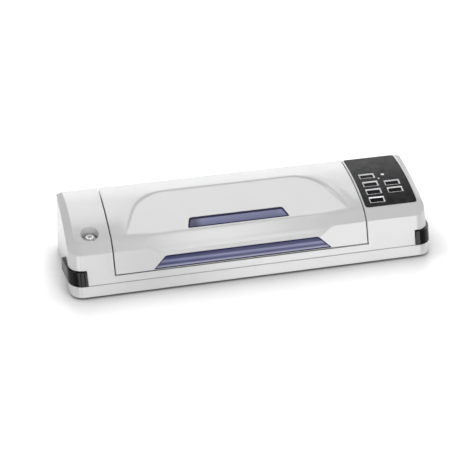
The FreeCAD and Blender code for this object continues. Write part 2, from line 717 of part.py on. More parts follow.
def scoop_form(name, spread):
    """A tapered block whose flat floor cuts under the arch, with walls that lean outwards."""
    tall = 12.0
    levels = []
    for level, up in (("floor", -dim(spread)), ("rim", dim(tall))):
        grow = s.scoop_draft * (up + spread) + spread
        far = RAMP_LENGTH + spread + 0.9 * (up + spread)
        drawing = doc.addObject("Sketcher::SketchObject", f"{name}_{level}")
        place(drawing, ramp_spot(0, up), RAMP_TURN)
        outline(drawing, *scoop_outline(s.scoop_half_front + grow, s.scoop_half_back + grow, far))
        levels.append(drawing)
    obj = doc.addObject("Part::Loft", name)
    obj.Sections = levels
    obj.Solid = True
    obj.Ruled = True
    return obj


def brow_form():
    """The overhang above the front window, fading out at both ends."""
    low = s.front_high + 0.6
    full = [(s.lean * 50.4 + 1.5, 50.4), (s.lip_y, s.lip_z), (s.lean * low, low), (s.lean * low + 1.5, low)]
    middle_y, middle_z = s.lean * 46 + 1.5, dim(46)
    half = s.brow_half
    sections = []
    for x, share in ((-half - s.brow_run, 0.02), (-half, 1), (half, 1), (half + s.brow_run, 0.02)):
        drawing = doc.addObject("Sketcher::SketchObject", "brow_section")
        place(drawing, (LID_MIDDLE + x, 0, 0), TURNS["YZ"])
        corners = [(middle_y + (y - middle_y) * share, middle_z + (z - middle_z) * share) for y, z in full]
        outline(drawing, corners)
        sections.append(drawing)
    obj = doc.addObject("Part::Loft", "brow")
    obj.Sections = sections
    obj.Solid = True
    obj.Ruled = True
    return obj


def front_window_form(name, sink, skin, inset):
    """A slab on the leaning front, with slanted ends."""
    low, high = s.front_low + inset, s.front_high - inset
    near, far = s.front_half_low - 2 * inset, s.front_half_high - 2 * inset
    view = [
        (LID_MIDDLE - near, low),
        (LID_MIDDLE + near, low),
        (LID_MIDDLE + far, high),
        (LID_MIDDLE - far, high),
    ]
    sharp = extrude(f"{name}_sharp", "XZ", view, 60, (0, -10, 0))

    def is_upper_corner(edge):
        return abs(edge.tangentAt(edge.FirstParameter).y) > 0.999 and edge.CenterOfMass.z > 30

    zone = ease("Fillet", f"{name}_zone", sharp, is_upper_corner, s.front_corner - inset)
    over = side_block(f"{name}_over", sink, s.lid_left, s.lid_length)
    under = side_block(f"{name}_under", dim(sink) + skin, s.lid_left - 1, s.lid_length + 2)
    return common(name, cut(f"{name}_slab", over, under), zone)


def upper_window_form(name, low, high, inset):
    """A slab in the scoop's floor, with slanted ends and round far corners."""
    near, far = s.upper_half_near - inset, s.upper_half_far - inset
    view = [
        (-near, s.upper_near + inset),
        (near, s.upper_near + inset),
        (far, s.upper_far - inset),
        (-far, s.upper_far - inset),
    ]
    slab = extrude(f"{name}_slab", "XY", view, dim(high) - low, ramp_spot(0, low), turn=RAMP_TURN)

    def is_far_corner(edge):
        middle = edge.CenterOfMass
        across = abs(edge.tangentAt(edge.FirstParameter).x) < 0.01
        return across and edge.Length < dim(high).value - dim(low).value + 0.01 and middle.y > 44

    return ease("Fillet", name, slab, is_far_corner, s.window_corner)


def lid_block(name, inset, edge_size, left, length):
    """The side view between the towers, with its bevelled top edge."""
    return ease("Chamfer", name, side_block(f"{name}_plain", inset, left, length), is_brow, edge_size)


lid_start = s.lid_left + s.seam
lid_run = s.lid_length - 2 * s.seam


def lid_shell():
    form = lid_block("lid_form", dim(0), s.edge, lid_start, lid_run)
    inside = lid_block("lid_inside", s.wall, s.inner_edge, lid_start + s.wall, lid_run - 2 * s.wall)
    hollow = cut("lid_hollow", inside, scoop_form("scoop_under", s.wall))
    below = span("lid_below", (0, -10, -10), (FAR, FAR, s.lid_bottom))
    behind = span("lid_behind", (0, 124, -10), (FAR, FAR, s.skirt))
    shell = cut("lid_plain", form, hollow, below, behind, scoop_form("scoop", dim(0)))
    pieces = [brow_form()]
    post_low = LID_FLOOR + s.panel_skin
    for i, (x, y, high) in enumerate(LID_SCREW_SPOTS):
        pieces.append(rod(f"lid_post_{i}", (x, y, post_low), s.post, high - post_low))
    for i, x in enumerate((lid_start, lid_start + lid_run - s.hinge_boss_length)):
        at = (x, s.pivot_y, s.pivot_z)
        pieces.append(rod(f"lid_boss_{i}", at, s.hinge_boss, s.hinge_boss_length, ALONG_X))
    whole = fuse("lid_whole", shell, *pieces)
    holes = [
        front_window_form("front_opening", -6, 12, 0),
        upper_window_form("upper_opening", -12, 8, 0),
        rod("lid_pin_hole", (0, s.pivot_y, s.pivot_z), s.pin, FAR, ALONG_X),
    ]
    pilots = [(x, y) for x, y, high in LID_SCREW_SPOTS]
    holes.extend(cylinders("lid_pilot", pilots, s.screw + 0.05, LID_FLOOR, LID_FLOOR + 12))
    return node("lid_shell", cut("lid", whole, *holes))


lid_shell()
node("front_window", front_window_form("front_pane", s.window_sink, s.window_skin, 0.1))
node("upper_window", upper_window_form("upper_pane", -s.window_sink - s.window_skin, -s.window_sink, 0.1))
pin_length = s.tower_boss + s.wall + s.seam + s.hinge_boss_length - 1
pin_starts = (lid_start + s.hinge_boss_length - pin_length, lid_start + lid_run - s.hinge_boss_length)
node("hinge_pins", group("lid_pins", *[
    rod(f"lid_pin_{i}", (x, s.pivot_y, s.pivot_z), s.pin, pin_length, ALONG_X)
    for i, x in enumerate(pin_starts)]))


def lid_inner_panel():
    plate = span("lid_plate", (lid_start + s.wall + 0.2, 20, LID_FLOOR),
                 (lid_start + lid_run - s.wall - 0.2, 120, LID_FLOOR + s.panel_skin))
    spots = [(x, y) for x, y, high in LID_SCREW_SPOTS]
    holes = cylinders("lid_screw_hole", spots, s.screw + 0.3, LID_FLOOR - 1, LID_FLOOR + 5)
    return node("lid_inner_panel", cut("lid_panel", plate, *holes))


lid_inner_panel()
gasket("lid_gasket", LID_FLOOR - s.gasket_proud, LID_FLOOR)
strip_low = bar_top + s.wire + s.tape + s.rest_gap
node("pressure_strip", span("silicone", (s.bar_left + 2, s.bar_front + 1, strip_low),
                            (s.bar_left + s.bar_length - 2, s.bar_front + s.bar_width - 1, LID_FLOOR)))


def lid_hook(side, x):
    low = DECK_UNDER + 0.1
    stem = span(f"{side}_hook_stem", (x, 21, low), (x + s.hook_width, 24, LID_FLOOR))
    nose = span(f"{side}_hook_nose", (x, 18, low), (x + s.hook_width, 21, low + 2))
    return fuse(f"{side}_hook", stem, nose)


node("lid_hooks", group("hooks", lid_hook("left", s.hook_left), lid_hook("right", s.hook_right)))
lid_head = s.screw_head - 0.6
LID_SCREW_OUTLINE = [(0, -1.5), (lid_head, -1.5), (lid_head, 0), (s.screw, 0), (s.screw, 10), (0, 10)]
node("lid_screws", group("lid_screw_set", *[
    turned(f"lid_screw_{i}", LID_SCREW_OUTLINE, (x, y, LID_FLOOR))
    for i, (x, y, high) in enumerate(LID_SCREW_SPOTS)]))


# Control panel, keys and the board under them

panel_holes = key_holes("panel_hole", s.frame_length, s.frame_width, s.frame_gap)
panel_holes.append(arch_box("square_hole", SQUARE_LENS, (4.2, 3.6, 12), -6))
panel_holes.append(arch_rod("round_hole", ROUND_LENS, 1.3, 12, -6))
panel_slab = panel_form("panel_slab", s.panel_sink, s.panel_proud, dim(0))
node("control_panel", cut("panel", panel_slab, *panel_holes))
lens_low = -s.panel_sink
node("square_lens", arch_box("square", SQUARE_LENS, (4, 3.4, s.panel_sink + s.panel_proud + 0.2), lens_low))
node("round_lens", arch_rod("round", ROUND_LENS, 1.2, s.panel_sink + s.panel_proud + 0.2, lens_low))


def key(label, spot):
    """A push button: cap sunk in its frame, flange under the wall, stem above its switch."""
    cap = arch_box(f"{label}_cap", spot, (s.key_length, s.key_width, s.key_deep - s.key_sunk), -s.key_deep)
    soft = ease("Fillet", f"{label}_soft", cap, is_cap_edge(spot), dim(0.6))
    flange_low = -(s.flange_top + s.flange_skin)
    flange = arch_box(f"{label}_flange", spot, (s.flange_length, s.flange_width, s.flange_skin), flange_low)
    stem = arch_rod(f"{label}_stem", spot, s.stem, s.stem_deep - s.key_deep + 1, -s.stem_deep)
    return node(label, fuse(label, soft, flange, stem))


def is_cap_edge(spot):
    """The test for the edges round the top of a key's cap."""
    point, turn = on_arch(*spot)
    normal = turn.multVec(Z_AXIS)

    def test(edge):
        return (edge.CenterOfMass - point).dot(normal) > -s.key_sunk.value - 0.01
    return test


for key_label, key_spot in KEY_SPOTS.items():
    key(key_label, key_spot)


frame_seat = panel_form("frame_seat", s.panel_sink + 3, -s.panel_sink, dim(0))


def key_frame(label, spot):
    """A bright frame let into the panel, with a bevel that runs down to the key."""
    low = -s.panel_sink - 0.4
    block = arch_box(f"{label}_frame_block", spot, (s.frame_length, s.frame_width, s.frame_proud - low), low)
    size = (s.key_length + 2 * s.key_gap, s.key_width + 2 * s.key_gap, 6)
    ring = cut(f"{label}_frame_ring", block, arch_box(f"{label}_frame_hole", spot, size, -3))
    point, turn = on_arch(*spot)

    def is_inner_top(edge):
        place_in_frame = turn.inverted().multVec(edge.CenterOfMass - point)
        inside = abs(place_in_frame.x) < s.frame_length.value / 2 - 0.5
        inside = inside and abs(place_in_frame.y) < s.frame_width.value / 2 - 0.5
        return inside and place_in_frame.z > s.frame_proud.value - 0.01

    bevelled = ease("Chamfer", f"{label}_frame_bevel", ring, is_inner_top, s.frame_bevel)
    return cut(f"{label}_frame", bevelled, frame_seat)


node("button_frames", group("frames", *[key_frame(k, spot) for k, spot in KEY_SPOTS.items()]))


def switch(label, spot):
    """A small push switch on the board under a key."""
    size = 6.0
    point, turn = board_spot(spot)
    corner = point + turn.multVec(V(-size / 2, -size / 2, 0))
    key_point, key_turn = on_arch(*spot)
    stem_end = key_point - key_turn.multVec(Z_AXIS) * s.stem_deep.value
    room = (stem_end - point).dot(turn.multVec(Z_AXIS)) - s.key_travel.value - 0.7
    return place(box(f"{label}_switch", ORIGIN, (size, size, room)), (corner.x, corner.y, corner.z), turn)


node("button_board", arch_box("key_board", KEY_BOARD_MIDDLE, (*KEY_BOARD_SIZE, s.board_skin),
                              -s.board_drop - s.board_skin))
node("tact_switches", group("switches", *[switch(k, spot) for k, spot in KEY_SPOTS.items()]))


# Pump in the right tower

def pump():
    x, z = s.pump_x, s.pump_z
    low = z - s.case_height / 2
    skin = s.case_skin
    case = span("case_block", (x - s.case_width / 2, s.case_front, low),
                (x + s.case_width / 2, s.case_front + s.case_length, z + s.case_height / 2))
    room_half = s.case_width / 2 - skin
    room_back = s.case_front + s.case_length - skin
    room = span("case_room", (x - room_half, s.case_front + skin, low + skin),
                (x + room_half, room_back, z + s.case_height / 2 - skin))
    shaft_hole = rod("case_bore", (x, s.case_front + 10, z), s.shaft + s.running_fit, 40, ALONG_Y)
    rod_hole = rod("case_mouth", (x, 54, z), 5, 30)
    node("pump_crankcase", cut("crankcase", case, room, shaft_hole, rod_hole))

    can = rod("motor_can", (x, s.motor_front, z), s.motor, s.motor_length, ALONG_Y)
    bore = rod("motor_bore", (x, s.motor_front - 5, z), s.shaft + s.running_fit, 90, ALONG_Y)
    node("pump_motor", cut("motor", can, bore))

    spindle = rod("spindle", (x, 47, z), s.shaft, s.motor_front + s.motor_length - 45, ALONG_Y)
    disc = rod("disc", (x, 50, z - s.throw), s.eccentric, 8, ALONG_Y)
    node("pump_shaft", fuse("shaft", spindle, disc))

    eye = rod("eye", (x, 51, z), s.eccentric + s.throw + 2.4, 6, ALONG_Y)
    case_top = z + s.case_height / 2
    stem = rod("rod_stem", (x, 54, z + 9), 2.5, case_top - z - 9)
    gap = rod("eye_gap", (x, 40, z), s.eccentric + s.throw + 0.4, 40, ALONG_Y)
    node("pump_rod", cut("connecting_rod", fuse("rod_body", eye, stem), gap))

    node("pump_diaphragm", rod("diaphragm", (x, 54, case_top), 12, 1.5))
    head_low = case_top + 1.5
    head = fuse("head_body", rod("head_disc", (x, 54, head_low), 12, 7),
                rod("head_spout", (x - 18, 54, head_low + 4), 2.5, 10, ALONG_X))
    node("pump_head", cut("head", head, rod("head_bore", (x - 20, 54, head_low + 4), 1.5, 14, ALONG_X)))

    mount_spots = [(416, 48), (448, 48), (416, 106), (448, 106)]
    node("pump_mounts", group("mounts", *cylinders("mount", mount_spots, 4, s.wall, 6.5)))
    plate = span("bracket_plate", (410, 42, 6.5), (454, 112, 8.5))
    saddle = span("bracket_saddle", (422, 44, 8.5), (442, 68, low))
    node("pump_bracket", fuse("bracket", plate, saddle))


pump()


# Valve, switches, transformer, board and inlet

valve_block = span("valve_block", (402.5, 92, 5), (409.5, 112, 19))
node("vent_valve", cut("valve", valve_block, rod("valve_bore", (406, 90, 12), 2 + s.running_fit, 30, ALONG_Y)))
node("vent_plunger", rod("plunger", (406, 96, 12), 2, 20, ALONG_Y))
node("vacuum_switch", rod("switch_can", (418, 128, s.wall), 8, 9))

node("lid_switch", span("switch_body", (64, 106, s.wall), (76, 118, 9)))
node("lid_switch_plunger", rod("switch_pin", (70, 112, 9.5 + 2), 2, LID_FLOOR - 0.5 - 11.5))

CORE_LOW = (9.0, 86.0, 4.5)


def transformer():
    x, y, z = CORE_LOW
    block = box("core_block", CORE_LOW, (42, 30, 36))
    windows = [box(f"core_window_{i}", (x + left, y - 5, z + 6), (7, 40, 24)) for i, left in enumerate((7, 28))]
    node("transformer_core", cut("core", block, *windows))
    winding = span("winding_block", (x + 7.2, y - 7, z + 6.2), (x + 34.8, y + 37, z + 29.8))
    leg = box("winding_leg", (x + 13.8, y - 0.2, z), (14.4, 30.4, 40))
    node("transformer_winding", cut("winding", winding, leg))
    node("transformer_base", box("core_base", (x - 2, y + 2, s.wall), (46, 26, z - s.wall)))


transformer()
node("main_board", box("board", (BOARD_X, 50, 24), (BOARD_SKIN, 66, 32)))
node("board_components", group(
    "components",
    rod("capacitor", (BOARD_X - 16, 60, 46), 6, 16, ALONG_X),
    box("relay", (BOARD_X - 14, 70, 40), (14, 19, 14)),
    box("heat_sink", (BOARD_X - 10, 93, 27), (10, 18, 24)),
    box("small_transformer", (BOARD_X - 15, 68, 25), (15, 20, 13))))


def mains_inlet():
    x, z = INLET_LOW
    width, height = INLET_SIZE
    middle = x + width / 2
    centre_z = z + height / 2
    body = box("inlet_body", (x + 0.2, 126, z + 0.2), (width - 0.4, s.depth - 126, height - 0.4))
    socket = [
        rod("socket_left", (middle - 4.3, 132, centre_z), 4.2, 20, ALONG_Y),
        rod("socket_right", (middle + 4.3, 132, centre_z), 4.2, 20, ALONG_Y),
        box("socket_middle", (middle - 4.3, 132, centre_z - 4.2), (8.6, 20, 8.4)),
    ]
    node("mains_inlet", cut("inlet", body, *socket))
    prongs = [rod(f"prong_{i}", (middle + offset, 132, centre_z), 1.2, 10, ALONG_Y)
              for i, offset in enumerate((-4.3, 4.3))]
    node("inlet_pins", group("prongs", *prongs))


mains_inlet()


# Hoses and leads inside

case_top = s.pump_z.value + s.case_height.value / 2
head_z = case_top + 5.5
node("trough_hose", hose(
    "suction", [(380.2, 71, 14.5), (405, 71, 14.5), (405, 54, head_z), (413.8, 54, head_z)], 4, 2.6))
tail = s.nipple_tail.value
node("port_hose", hose("accessory_tube", [(33, 45, tail), (33, 45, 7), (80, 102, 7), (402.4, 102, 7)], 6, 2.8))
node("heater_leads", group(
    "leads",
    hose("short_lead", [(24, 78.9, 20), (24, 66, 20), (62, 40, 8), (76, 29, 8), (76, 29, 14.4)], 3, 1.1),
    hose("long_lead", [(36, 78.9, 26), (36, 70, 26), (62, 44, 5.5), (366, 44, 5.5), (380, 29, 5.5),
                       (380, 29, 14.4)], 3, 1.1)))


# Check and write

doc.recompute()
for obj in doc.Objects:
    if "Invalid" in obj.State or "Error" in obj.State:
        raise RuntimeError(f"{obj.Name}: {obj.State}")
for obj in nodes:
    if obj.Shape.isNull() or not obj.Shape.isValid() or not obj.Shape.Solids:
        raise RuntimeError(f"{obj.Label}: bad shape")
os.makedirs("parts", exist_ok=True)
for obj in nodes:
    obj.Shape.exportStep(f"parts/{obj.Label}.step")
print(f"{len(nodes)} sub-parts written")
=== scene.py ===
"""Looks of the vacuum sealer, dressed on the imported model's frame."""
import math

import bmesh
import bpy
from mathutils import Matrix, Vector


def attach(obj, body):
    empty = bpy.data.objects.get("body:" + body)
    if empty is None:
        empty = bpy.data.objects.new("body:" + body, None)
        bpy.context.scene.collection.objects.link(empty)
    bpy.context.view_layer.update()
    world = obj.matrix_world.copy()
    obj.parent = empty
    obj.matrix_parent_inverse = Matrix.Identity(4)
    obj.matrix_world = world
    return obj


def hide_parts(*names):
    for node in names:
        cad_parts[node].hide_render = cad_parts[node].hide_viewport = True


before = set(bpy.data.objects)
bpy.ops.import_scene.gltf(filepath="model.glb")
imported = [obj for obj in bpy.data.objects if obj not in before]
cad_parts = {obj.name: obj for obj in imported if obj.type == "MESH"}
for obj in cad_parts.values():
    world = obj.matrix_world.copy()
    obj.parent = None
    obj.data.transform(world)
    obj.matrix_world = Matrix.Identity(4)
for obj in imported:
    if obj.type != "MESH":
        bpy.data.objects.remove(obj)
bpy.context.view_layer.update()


# Materials

NOISE_LOW, NOISE_HIGH = 0.3, 0.7


def start_material(name):
    """A material with a node tree, and its Principled shader."""
    material = bpy.data.materials.new(name)
    material.use_nodes = True
    shader = material.node_tree.nodes["Principled BSDF"]
    return material, material.node_tree, shader


def add_node(tree, kind, **settings):
    """A node of that kind, with its sockets or properties set by name."""
    node = tree.nodes.new(kind)
    for key, value in settings.items():
        socket = node.inputs.get(key.replace("_", " "))
        if socket is None:
            setattr(node, key, value)
        else:
            socket.default_value = value
    return node


def noise(tree, size, detail=3.0):
    """Noise whose clouds are about size metres across, in the object's own coordinates."""
    place = add_node(tree, "ShaderNodeTexCoord")
    cloud = add_node(tree, "ShaderNodeTexNoise", Scale=1.0 / size, Detail=detail)
    tree.links.new(place.outputs["Object"], cloud.inputs["Vector"])
    return cloud.outputs["Fac"]


def between(tree, factor, low, high):
    """A number that runs from low to high with a noise."""
    scale = add_node(tree, "ShaderNodeMapRange", From_Min=NOISE_LOW, From_Max=NOISE_HIGH,
                     To_Min=low, To_Max=high)
    tree.links.new(factor, scale.inputs["Value"])
    return scale.outputs["Result"]


def spread(tree, value, stops):
    """A colour ramp over a value, from a list of positions and colours."""
    ramp_node = add_node(tree, "ShaderNodeValToRGB")
    elements = ramp_node.color_ramp.elements
    while len(elements) < len(stops):
        elements.new(0.5)
    for element, (position, colour) in zip(elements, stops):
        element.position = position
        element.color = (*colour, 1.0)
    tree.links.new(value, ramp_node.inputs["Fac"])
    return ramp_node.outputs["Color"]


def relief(tree, shader, factor, depth, edge):
    """A fine relief of that depth over edges softened by that radius, in metres."""
    bump = add_node(tree, "ShaderNodeBump", Strength=1.0, Distance=depth)
    soft = add_node(tree, "ShaderNodeBevel", samples=6, Radius=edge)
    tree.links.new(factor, bump.inputs["Height"])
    tree.links.new(soft.outputs["Normal"], bump.inputs["Normal"])
    tree.links.new(bump.outputs["Normal"], shader.inputs["Normal"])


def painted_crevice_shade(tree, colour, reach):
    """A colour with painted shade: darker inside gaps narrower than the reach, in metres."""
    shade = add_node(tree, "ShaderNodeAmbientOcclusion", samples=8, Distance=reach)
    tree.links.new(colour, shade.inputs["Color"])
    return shade.outputs["Color"]


def moulded(name, dark, light, cloud, gloss, grain, depth, edge=0.0004, painted_shade_reach=0.0, **shader_values):
    """A moulded surface: faint clouds of colour, uneven gloss, a fine grain and softened edges, with painted
    shade in its gaps where a reach is given.
    """
    material, tree, shader = start_material(name)
    for key, value in shader_values.items():
        shader.inputs[key.replace("_", " ")].default_value = value
    colour = spread(tree, noise(tree, cloud), [(NOISE_LOW, dark), (NOISE_HIGH, light)])
    # Painted shade: the colour darkens inside gaps narrower than the reach.
    if painted_shade_reach:
        colour = painted_crevice_shade(tree, colour, painted_shade_reach)
    tree.links.new(colour, shader.inputs["Base Color"])
    fine = noise(tree, grain, 4.0)
    tree.links.new(between(tree, fine, *gloss), shader.inputs["Roughness"])
    relief(tree, shader, fine, depth, edge)
    return material


# The white plastic carries painted shade inside its seams and gaps, reaching 1.5 mm.
WHITE = moulded("white_plastic", (0.665, 0.665, 0.670), (0.685, 0.685, 0.688), 0.05,
                (0.15, 0.21), 0.0006, 0.000006, edge=0.0009, painted_shade_reach=0.0015)
PLINTH = moulded("plinth_plastic", (0.665, 0.665, 0.670), (0.685, 0.685, 0.688), 0.05,
                 (0.15, 0.21), 0.0006, 0.000006, edge=0.0009)
PORT = moulded("port_plastic", (0.86, 0.86, 0.86), (0.90, 0.90, 0.90), 0.01,
               (0.12, 0.18), 0.0006, 0.000004, edge=0.0006)
INNER = moulded("inner_plastic", (0.70, 0.70, 0.705), (0.74, 0.74, 0.745), 0.03,
                (0.42, 0.52), 0.0005, 0.00001)
BLACK_GLOSS = moulded("black_gloss", (0.004, 0.004, 0.005), (0.008, 0.008, 0.009), 0.02,
                      (0.10, 0.14), 0.004, 0.000002, edge=0.0008, Specular_IOR_Level=0.13)
PANEL = moulded("panel_black", (0.007, 0.007, 0.008), (0.026, 0.026, 0.028), 0.010,
                (0.36, 0.50), 0.0007, 0.00002, Specular_IOR_Level=0.12)
KEY = moulded("key_black", (0.003, 0.003, 0.004), (0.007, 0.007, 0.008), 0.006,
              (0.24, 0.34), 0.0005, 0.00001, Specular_IOR_Level=0.05)
SILVER = moulded("frame_silver", (0.80, 0.80, 0.81), (0.88, 0.88, 0.89), 0.004,
                 (0.22, 0.32), 0.0008, 0.000004, Metallic=0.35)
# The window rim's dark colour is painted shade of the recess round each pane.
WINDOW_SHADE_RIM = moulded("window_rim_painted_shade", (0.011, 0.011, 0.045), (0.018, 0.018, 0.065), 0.010,
                     (0.10, 0.18), 0.0008, 0.000004, Specular_IOR_Level=0.06)


def share_along(tree, value, low, high):
    """How far a coordinate has come from low to high, from 0 to 1."""
    share = add_node(tree, "ShaderNodeMapRange", From_Min=low, From_Max=high)
    tree.links.new(value, share.inputs["Value"])
    return share.outputs["Result"]


PANE_ENDS = (-0.135, 0.105)


def tinted(name, axis, low, high, bands, streak, ends):
    """A tinted pane: bands of tone across its height, fine streaks along it, ends of their own tone."""
    material, tree, shader = start_material(name)
    place = add_node(tree, "ShaderNodeTexCoord")
    split = add_node(tree, "ShaderNodeSeparateXYZ")
    tree.links.new(place.outputs["Object"], split.inputs["Vector"])
    stretch = add_node(tree, "ShaderNodeMapping", Scale=(9.0, 500.0, 500.0))
    tree.links.new(place.outputs["Object"], stretch.inputs["Vector"])
    lines = add_node(tree, "ShaderNodeTexNoise", Scale=1.0, Detail=3.0)
    tree.links.new(stretch.outputs["Vector"], lines.inputs["Vector"])
    total = add_node(tree, "ShaderNodeMath", operation="ADD")
    tree.links.new(share_along(tree, split.outputs[axis], low, high), total.inputs[0])
    tree.links.new(between(tree, lines.outputs["Fac"], -streak, streak), total.inputs[1])
    tone = add_node(tree, "ShaderNodeMix", data_type="RGBA", blend_type="MULTIPLY", Factor=1.0)
    across = share_along(tree, split.outputs["X"], *PANE_ENDS)
    tree.links.new(spread(tree, total.outputs[0], bands), tone.inputs[6])
    tree.links.new(spread(tree, across, ends), tone.inputs[7])
    tree.links.new(tone.outputs[2], shader.inputs["Base Color"])
    tree.links.new(between(tree, lines.outputs["Fac"], 0.10, 0.20), shader.inputs["Roughness"])
    shader.inputs["Specular IOR Level"].default_value = 0.06
    return material


# The front pane darkens towards its top edge: a painted shadow of the overhanging brow.
VIOLET_FRONT = tinted("violet_front", "Z", 0.0268, 0.0414, [
    (0.00, (0.32, 0.33, 0.45)),
    (0.13, (0.42, 0.43, 0.59)),
    (0.24, (0.100, 0.105, 0.21)),
    (0.36, (0.110, 0.115, 0.23)),
    (0.47, (0.27, 0.285, 0.44)),
    (0.56, (0.24, 0.25, 0.40)),
    (0.65, (0.085, 0.090, 0.19)),
    (1.00, (0.035, 0.037, 0.10)),
], 0.03, [(0.0, (0.8, 0.8, 0.8)), (0.15, (1.0, 1.0, 1.0))])
VIOLET_UPPER = tinted("violet_upper", "Y", -0.0365, -0.0190, [
    (0.00, (0.135, 0.145, 0.265)),
    (0.50, (0.215, 0.228, 0.380)),
    (1.00, (0.265, 0.277, 0.430)),
], 0.05, [
    (0.265, (0.45, 0.45, 0.45)),
    (0.300, (1.0, 1.0, 1.0)),
    (0.715, (0.86, 0.86, 0.86)),
    (0.745, (1.0, 1.0, 1.0)),
])
WHITE_LENS = moulded("white_lens", (0.80, 0.80, 0.79), (0.90, 0.90, 0.89), 0.002,
                     (0.18, 0.28), 0.0006, 0.000004)
RED_LENS = moulded("red_lens", (0.75, 0.74, 0.73), (0.86, 0.85, 0.84), 0.002,
                   (0.15, 0.22), 0.0006, 0.000004)
FOAM = moulded("gasket_foam", (0.028, 0.028, 0.030), (0.060, 0.060, 0.063), 0.0012,
               (0.80, 0.95), 0.0004, 0.00012)
SILICONE = moulded("silicone", (0.30, 0.035, 0.030), (0.38, 0.050, 0.042), 0.008,
                   (0.45, 0.60), 0.0006, 0.00002)
RUBBER = moulded("foot_rubber", (0.022, 0.022, 0.023), (0.040, 0.040, 0.042), 0.003,
                 (0.70, 0.85), 0.0005, 0.00005)
DARK = moulded("dark_plastic", (0.020, 0.020, 0.021), (0.034, 0.034, 0.036), 0.008,
               (0.36, 0.48), 0.0006, 0.00002)
HEATER = moulded("heater", (0.42, 0.40, 0.37), (0.58, 0.56, 0.53), 0.003,
                 (0.30, 0.42), 0.0005, 0.00001, Metallic=1.0)
TAPE = moulded("tape_cloth", (0.30, 0.20, 0.11), (0.40, 0.28, 0.16), 0.002,
               (0.50, 0.62), 0.0008, 0.00004)
STEEL = moulded("steel", (0.52, 0.52, 0.53), (0.64, 0.64, 0.65), 0.004,
                (0.26, 0.40), 0.0006, 0.00001, Metallic=1.0)
WINDING = moulded("winding", (0.44, 0.20, 0.08), (0.58, 0.28, 0.12), 0.002,
                  (0.30, 0.45), 0.0008, 0.00004, Metallic=0.8)
PLUNGER = moulded("plunger_plastic", (0.72, 0.71, 0.68), (0.80, 0.79, 0.76), 0.004,
                  (0.34, 0.46), 0.0006, 0.00001)
BOARD = moulded("board", (0.020, 0.11, 0.045), (0.030, 0.15, 0.065), 0.006,
                (0.34, 0.46), 0.0008, 0.00001)
CONTACT = moulded("contact", (0.62, 0.50, 0.26), (0.74, 0.60, 0.32), 0.003,
                  (0.24, 0.36), 0.0006, 0.00001, Metallic=1.0)
TUBE = moulded("tube", (0.62, 0.63, 0.62), (0.72, 0.73, 0.72), 0.006,
               (0.30, 0.42), 0.0008, 0.00002)
LEAD = moulded("lead", (0.55, 0.04, 0.03), (0.66, 0.07, 0.05), 0.006,
               (0.40, 0.52), 0.0006, 0.00002)

LOOKS = {
    "white_plastic": WHITE,
    "inner_plastic": INNER,
    "black_gloss": BLACK_GLOSS,
    "panel_black": PANEL,
    "key_black": KEY,
    "frame_silver": SILVER,
    "violet_window": WINDOW_SHADE_RIM,
    "white_lens": WHITE_LENS,
    "red_lens": RED_LENS,
    "gasket_foam": FOAM,
    "silicone": SILICONE,
    "foot_rubber": RUBBER,
    "dark_plastic": DARK,
    "heater": HEATER,
    "tape_cloth": TAPE,
    "steel": STEEL,
    "winding": WINDING,
    "plunger_plastic": PLUNGER,
    "board": BOARD,
    "contact": CONTACT,
    "tube": TUBE,
    "lead": LEAD,
}

OWN_LOOKS = {"lower_housing": PLINTH}

for node_name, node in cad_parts.items():
    for holder in node.material_slots:
        slot_look = LOOKS[holder.material.name.split(".")[0]]
        holder.material = OWN_LOOKS.get(node_name, slot_look)


# Drawing in millimetres: x from the left end, y from the front edge, z from the underside of the housing

CORNER = Vector((-0.243, -0.073, 0.003))
LID_MIDDLE = 228.0
LID_HALF = 168.3
LID_BOTTOM = 22.8
SKIRT = 60.6
LEAN = 0.415
ARCH_RADIUS = 250.0
BACK_EDGE = (138.2, 80.9)
BROW_EDGE = (LEAN * 58.2, 58.2)
REAR_SLOPE = (80.9 - 55.0) / (146.0 - 138.2)
BEVEL_LOW = (20.63, 49.70)
BEVEL_SLOPE = 1.032
LIP = (14.6, 45.0)
LIP_SLOPE = 0.69
TUCK = 38.6
BROW_FULL, BROW_GONE = 102.0, 126.0
RAMP_START = (32.0, 61.9)
RAMP_TURN = math.atan2(79.4 - 61.9, 111.0 - 32.0)
SCOOP_BACK = 111.0
SCOOP_ROUND = 30.0
SCOOP_FRONT, SCOOP_HALF, SCOOP_TAPER, SCOOP_SQUARE = 18.27, 157.0, 0.4152, 0.924
WALL_SLOPE = 0.70
SIDE_ROUND = 6.5
LID_SKIN = 0.0022
TOP_START = 36.0
HINGE_Y, HINGE_Z, HINGE_BOSS = 134.0, 64.0, 6.0
FRONT_OUT, FRONT_RISE = 0.9236, 0.3833
GASKET_LOW, GASKET_HIGH, GASKET_CORNER = (81.0, 41.0), (375.0, 101.0), 7.0
STRIP_FRONT, STRIP_BACK, STRIP_LOW, STRIP_HIGH = 26.0, 32.0, 23.65, 27.8
STRIP_LEFT, STRIP_RIGHT, STRIP_END_ROUND = 76.0, 380.0, 0.8
PORT_X, PORT_Y = 33.0, 45.0


def spot(x, y, z):
    """A point of the drawing in the part's frame, in metres."""
    return CORNER + Vector((x, y, z)) * 0.001


def arch_axis():
    """The axis of the arched top, from its two edges and its radius."""
    (y0, z0), (y1, z1) = BROW_EDGE, BACK_EDGE
    chord = math.hypot(y1 - y0, z1 - z0)
    reach = math.sqrt(ARCH_RADIUS**2 - (chord / 2) ** 2)
    return (y0 + y1) / 2 + (z1 - z0) / chord * reach, (z0 + z1) / 2 - (y1 - y0) / chord * reach


ARCH_Y, ARCH_Z = arch_axis()


def arch(y):
    """The height of the arched top."""
    return ARCH_Z + math.sqrt(ARCH_RADIUS**2 - (y - ARCH_Y) ** 2)


def ramp(y):
    """The flat floor of the scoop."""
    return RAMP_START[1] + (y - RAMP_START[0]) * math.tan(RAMP_TURN)


